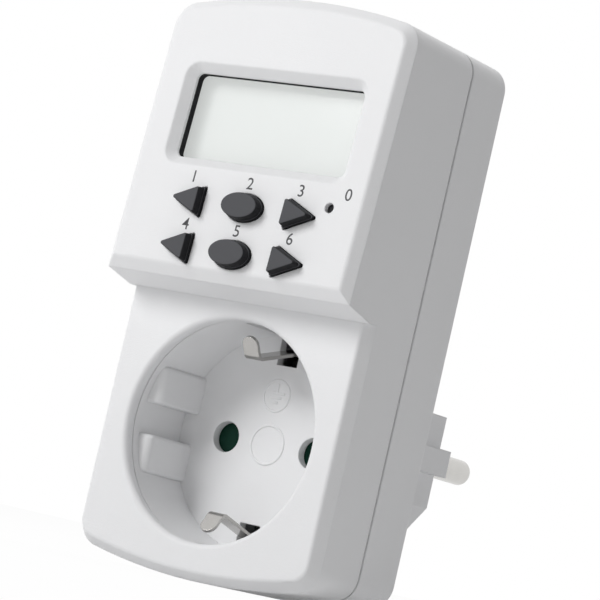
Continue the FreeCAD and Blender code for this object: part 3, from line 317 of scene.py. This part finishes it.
# The gasket that seats the lens on the back of the frame: a ring die-cut from black foam
# sheet, with rough cells on its cut edge, squeezed as the control board is screwed down.
foam = Finish("foam_black", Roughness=0.9, Specular_IOR_Level=0.2)
foam.give("Base Color", foam.blend(foam.noise(0.25, detail=3.0), (0.008, 0.008, 0.009),
                                   (0.025, 0.025, 0.027)))
foam.relief(foam.noise(0.2, detail=3.0), 0.06)
foam.cover("display_gasket")

# The six push buttons: charcoal silicone caps, matt and a little dusty, that come up
# through the face; the reset button is a small black peg sunk in its hole. Both carry
# painted light: lighter grey where they face out and darker on their sides.
BUTTONS = [n for n in nodes if n.startswith("button_")]
press = next(j for j in frame["joints"] if j["child"] == BUTTONS[0])
TILT = math.asin(-press["axis"][2])
OUT_OF_FACE = Vector((0, -math.cos(TILT), math.sin(TILT)))


def rubber(name, shaded_sides, top, rough):
    """Rubber with painted light: lighter grey where it faces out, darker on its sides, flecked
    by dust.
    """
    finish = Finish(name, Specular_IOR_Level=0.15)
    dust = finish.noise(0.14, detail=3.0, rough=0.6)
    out = finish.node("ShaderNodeVectorMath", {"operation": "DOT_PRODUCT"},
                      {0: finish.node("ShaderNodeNewGeometry", out="Normal"),
                       1: OUT_OF_FACE}, out="Value")
    # Painted light: faces turned out are painted lighter and the sides painted darker.
    painted_light_mask = finish.node("ShaderNodeMapRange", {"interpolation_type": "SMOOTHSTEP"},
                         {"Value": out, "From Min": 0.35, "From Max": 0.97})
    finish.give("Base Color", finish.blend(painted_light_mask * (0.88 + 0.24 * dust), shaded_sides, top))
    finish.give("Roughness", rough + 0.2 * dust)
    finish.relief(dust, 0.02, edge=0.06)
    return finish


rubber("button_rubber", shaded_sides=(0.012, 0.012, 0.014), top=(0.088, 0.089, 0.096),
       rough=0.55).cover(*BUTTONS)
rubber("reset_black", shaded_sides=(0.008, 0.008, 0.009), top=(0.02, 0.02, 0.022),
       rough=0.45).cover("reset_button")

# The marks printed beside the buttons: thin dark grey numerals, pad-printed on the
# sloped display face, 1 to 6 for the push buttons and 0 for the reset button.
FACE_LIP = Vector((0, -55.95, 20.6)) * MM
ACROSS = Vector((1, 0, 0))
UP_FACE = Vector((0, math.sin(TILT), math.cos(TILT)))
PRINT_THICK = 0.012
NUMERAL_SIZE = 3.0
NUMERAL_SPREAD = 0.012
UPPER_S, LOWER_S, RESET_S = 17.45, 8.9, 17.85
NUMERALS = ((1, -11.5, UPPER_S), (2, 0.75, UPPER_S), (3, 11.65, UPPER_S),
            (4, -10.6, LOWER_S), (5, 0.55, LOWER_S), (6, 11.9, LOWER_S), (0, 21.4, RESET_S))

ink = Finish("print_grey", Specular_IOR_Level=0.3)
ink.give("Base Color", ink.blend(ink.noise(0.1, detail=3.0), (0.055, 0.055, 0.06),
                                 (0.11, 0.11, 0.115)))
ink.give("Roughness", 0.5 + 0.2 * ink.noise(0.1))
ink.relief(ink.noise(0.08), 0.004)


def printed(number, x, s):
    """A numeral on the display face, its middle at x across and s up from the lower lip."""
    name = "numeral_%d" % number
    curve = bpy.data.curves.new(name, "FONT")
    curve.body = str(number)
    curve.size = NUMERAL_SIZE * MM
    curve.offset = NUMERAL_SPREAD * MM
    curve.extrude = PRINT_THICK * MM
    curve.align_x = "CENTER"
    curve.align_y = "CENTER"
    shape = bpy.data.objects.new(name + "_words", curve)
    bpy.context.scene.collection.objects.link(shape)
    bpy.context.view_layer.update()
    mesh = bpy.data.meshes.new_from_object(
        shape.evaluated_get(bpy.context.evaluated_depsgraph_get()))
    bpy.data.objects.remove(shape)
    place = Matrix((ACROSS, UP_FACE, OUT_OF_FACE)).transposed().to_4x4()
    place.translation = FACE_LIP + ACROSS * x * MM + UP_FACE * s * MM
    mesh.transform(place)
    new_piece(name, mesh, ink, "case")


for number, x, s in NUMERALS:
    printed(number, x, s)

# The live and neutral parts: contacts rolled to slit tubes and flat bars that lead to them
# from the pins and the relay, stamped from bare brass strip and soldered where they meet.
metal("brass", colour=(0.83, 0.62, 0.29), dark=(0.7, 0.5, 0.22), line=0.15,
      stretch=(0.08, 1, 0.08), rough=0.24, edge=0.1).cover(
    "neutral_contact", "live_contact", "live_out_bar", "neutral_bar", "live_pin_bar",
    "neutral_pin_bar")

# The carriers of the pins, the contacts and the display: plain off-white mouldings that
# nobody sees, with a coarser skin than the case.
moulded("inner_plastic", colour=(0.72, 0.72, 0.69), shade=(0.66, 0.66, 0.63), grain=0.4,
        depth=0.03, edge=0.1).cover("pin_carrier", "contact_carrier", "lcd_holder")

# The screws of the boards and of the case: zinc-plated steel, cold-headed, with threads
# that cut their own way into the posts.
metal("screw_steel", colour=(0.52, 0.52, 0.54), dark=(0.4, 0.4, 0.42), line=0.14,
      stretch=(1, 0.3, 1), rough=0.28, edge=0.1).cover("board_screws", "case_screws")

# The backup cell, its welded tabs and the quartz crystal's can: bright drawn steel, all
# soldered to the power board or the control board.
metal("cell_steel", colour=(0.68, 0.68, 0.69), dark=(0.58, 0.58, 0.6), line=0.2,
      stretch=(0.1, 1, 0.1), rough=0.18, edge=0.1).cover(
    "backup_battery", "battery_tabs", "quartz_crystal")

# The relay's coil: lacquered copper wire, wound tight on a bobbin under the cover.
# Its turns read as fine lines round it.
metal("copper", colour=(0.72, 0.32, 0.16), dark=(0.6, 0.24, 0.1), line=0.18,
      stretch=(1, 0.03, 1), rough=0.3, edge=0.0).cover("relay_coil")


# The button mat behind the caps and the contact strip behind the display: grey moulded
# silicone, pressed against the control board.
def coloured(name, colour, deep, rough):
    """A plain coloured piece with slight clouds and a fine skin."""
    finish = Finish(name)
    sand = finish.noise(0.3, detail=3.0, rough=0.6)
    finish.give("Base Color", finish.blend(finish.noise(2.5, detail=3.0), colour, deep))
    finish.give("Roughness", rough + 0.15 * sand)
    finish.relief(sand, 0.01, edge=0.08)
    return finish


coloured("grey_silicone", (0.42, 0.42, 0.43), (0.36, 0.36, 0.37), 0.6).cover(
    "keypad_mat", "zebra_strip")

# The control board behind the display and the power board in the rear shell: glass-fibre
# sheet under green solder mask.
coloured("green_board", (0.02, 0.16, 0.07), (0.03, 0.2, 0.09), 0.3).cover(
    "control_board", "power_board")

# The relay that switches the socket: a sealed box of blue plastic, its cover pressed over
# the base and glued.
coloured("relay_blue", (0.03, 0.1, 0.34), (0.02, 0.08, 0.28), 0.35).cover(
    "relay_base", "relay_cover")

# The parts that feed the boards: a yellow film capacitor, a smoothing capacitor in a black
# sleeve and a blue dipped varistor, each soldered in by its leads.
coloured("film_yellow", (0.75, 0.5, 0.06), (0.68, 0.44, 0.05), 0.35).cover("film_capacitor")
coloured("can_black", (0.02, 0.02, 0.025), (0.03, 0.03, 0.035), 0.3).cover(
    "smoothing_capacitor")
coloured("varistor_blue", (0.03, 0.14, 0.4), (0.02, 0.11, 0.33), 0.22).cover("varistor")

# The small black parts on the boards: rectifier, timer chip, header, reset switch and fuse
# resistor, moulded in filled epoxy or nylon.
coloured("chip_black", (0.018, 0.018, 0.019), (0.03, 0.03, 0.031), 0.5).cover(
    "bridge_rectifier", "timer_chip", "link_header", "reset_switch", "fuse_resistor")


# The stage: a plain white floor just under the case and a white surround, which the camera
# sees as white while the case is lit by a dimmer one.
def looked_at(tree):
    """1 for what the camera sees, straight, mirrored or through a clear piece."""
    camera, mirrored, through = (
        tree.node("ShaderNodeLightPath", out=kind)
        for kind in ("Is Camera Ray", "Is Glossy Ray", "Is Transmission Ray"))
    return camera + mirrored + through


WHITE = (1, 1, 1, 1)
FLOOR_DROP = 0.1
FLOOR_HALF = 3.0
FLOOR_GLOW = 0.97
AMBIENT = 0.27
floor_z = cad_box[0][2] - FLOOR_DROP * MM
mesh = bpy.data.meshes.new("floor")
mesh.from_pydata([(x * FLOOR_HALF, y * FLOOR_HALF, floor_z) for x, y in SQUARE], [],
                 [(0, 1, 2, 3)])
floor = bpy.data.objects.new("floor", mesh)
bpy.context.scene.collection.objects.link(floor)

paper = Finish("floor_paper", Roughness=0.9, Specular_IOR_Level=0.0)
paper.give("Base Color", paper.blend(paper.noise(300.0), (0.93, 0.93, 0.93),
                                     (0.92, 0.92, 0.92)))
glow = paper.node("ShaderNodeEmission", None, {"Color": WHITE, "Strength": 1.0})
lit = Wire(paper, paper.shader.outputs[0])
mixed = paper.node("ShaderNodeMixShader", None,
                   {0: looked_at(paper) * FLOOR_GLOW, 1: lit, 2: glow})
paper.plug(paper.node_tree.nodes["Material Output"].inputs["Surface"], mixed)
floor.data.materials.append(paper.material)

world = bpy.data.worlds.new("surround")
bpy.context.scene.world = world
world.use_nodes = True
surround = Tree(world.node_tree)
dim = world.node_tree.nodes["Background"]
dim.inputs["Color"].default_value = WHITE
dim.inputs["Strength"].default_value = AMBIENT
bright = surround.node("ShaderNodeBackground", None, {"Color": WHITE, "Strength": 1.0})
mixed = surround.node("ShaderNodeMixShader", None,
                      {0: looked_at(surround), 1: Wire(surround, dim.outputs[0]), 2: bright})
surround.plug(world.node_tree.nodes["World Output"].inputs["Surface"], mixed)

# The lamps: a large soft one in front, above and to the left, and a weaker one above and
# behind that lights the tops of the case and of the plug.
LAMP_AIM = Vector((0, -0.045, 0.02))
LAMP_DISTANCE = 1.0


def soft_lamp(name, way, size, power):
    data = bpy.data.lights.new(name, "AREA")
    data.shape = "DISK"
    data.size = size
    data.energy = power
    lamp = bpy.data.objects.new(name, data)
    bpy.context.scene.collection.objects.link(lamp)
    lamp.location = LAMP_AIM + Vector(way).normalized() * LAMP_DISTANCE
    lamp.rotation_euler = (LAMP_AIM - lamp.location).to_track_quat("-Z", "Y").to_euler()


soft_lamp("key_lamp", way=(-0.42, -0.76, 0.5), size=0.5, power=6.0)
soft_lamp("top_lamp", way=(0.0, 0.5, 0.9), size=0.4, power=2.6)

# The camera: half a metre in front of the case and to its right, about level with its foot,
# with a long lens, and rolled so that the case leans to the right.
SENSOR = 36.0
LENS = 178.39
NEAREST = 0.01
STAND = Vector((305.84, -462.30, -24.24)) * MM
FORWARD = Vector((-0.57688, 0.81212, 0.08752)).normalized()
RIGHTWARD = Vector((0.80594, 0.54847, 0.22280))
eye = bpy.data.cameras.new("camera")
eye.sensor_fit = "HORIZONTAL"
eye.sensor_width = SENSOR
eye.lens = LENS
eye.clip_start = NEAREST
camera = bpy.data.objects.new("camera", eye)
bpy.context.scene.collection.objects.link(camera)
right = (RIGHTWARD - FORWARD * RIGHTWARD.dot(FORWARD)).normalized()
stand = Matrix((right, right.cross(FORWARD), -FORWARD)).transposed().to_4x4()
stand.translation = STAND
camera.matrix_world = stand
bpy.context.scene.camera = camera

scene = bpy.context.scene
scene.view_settings.view_transform = "Standard"
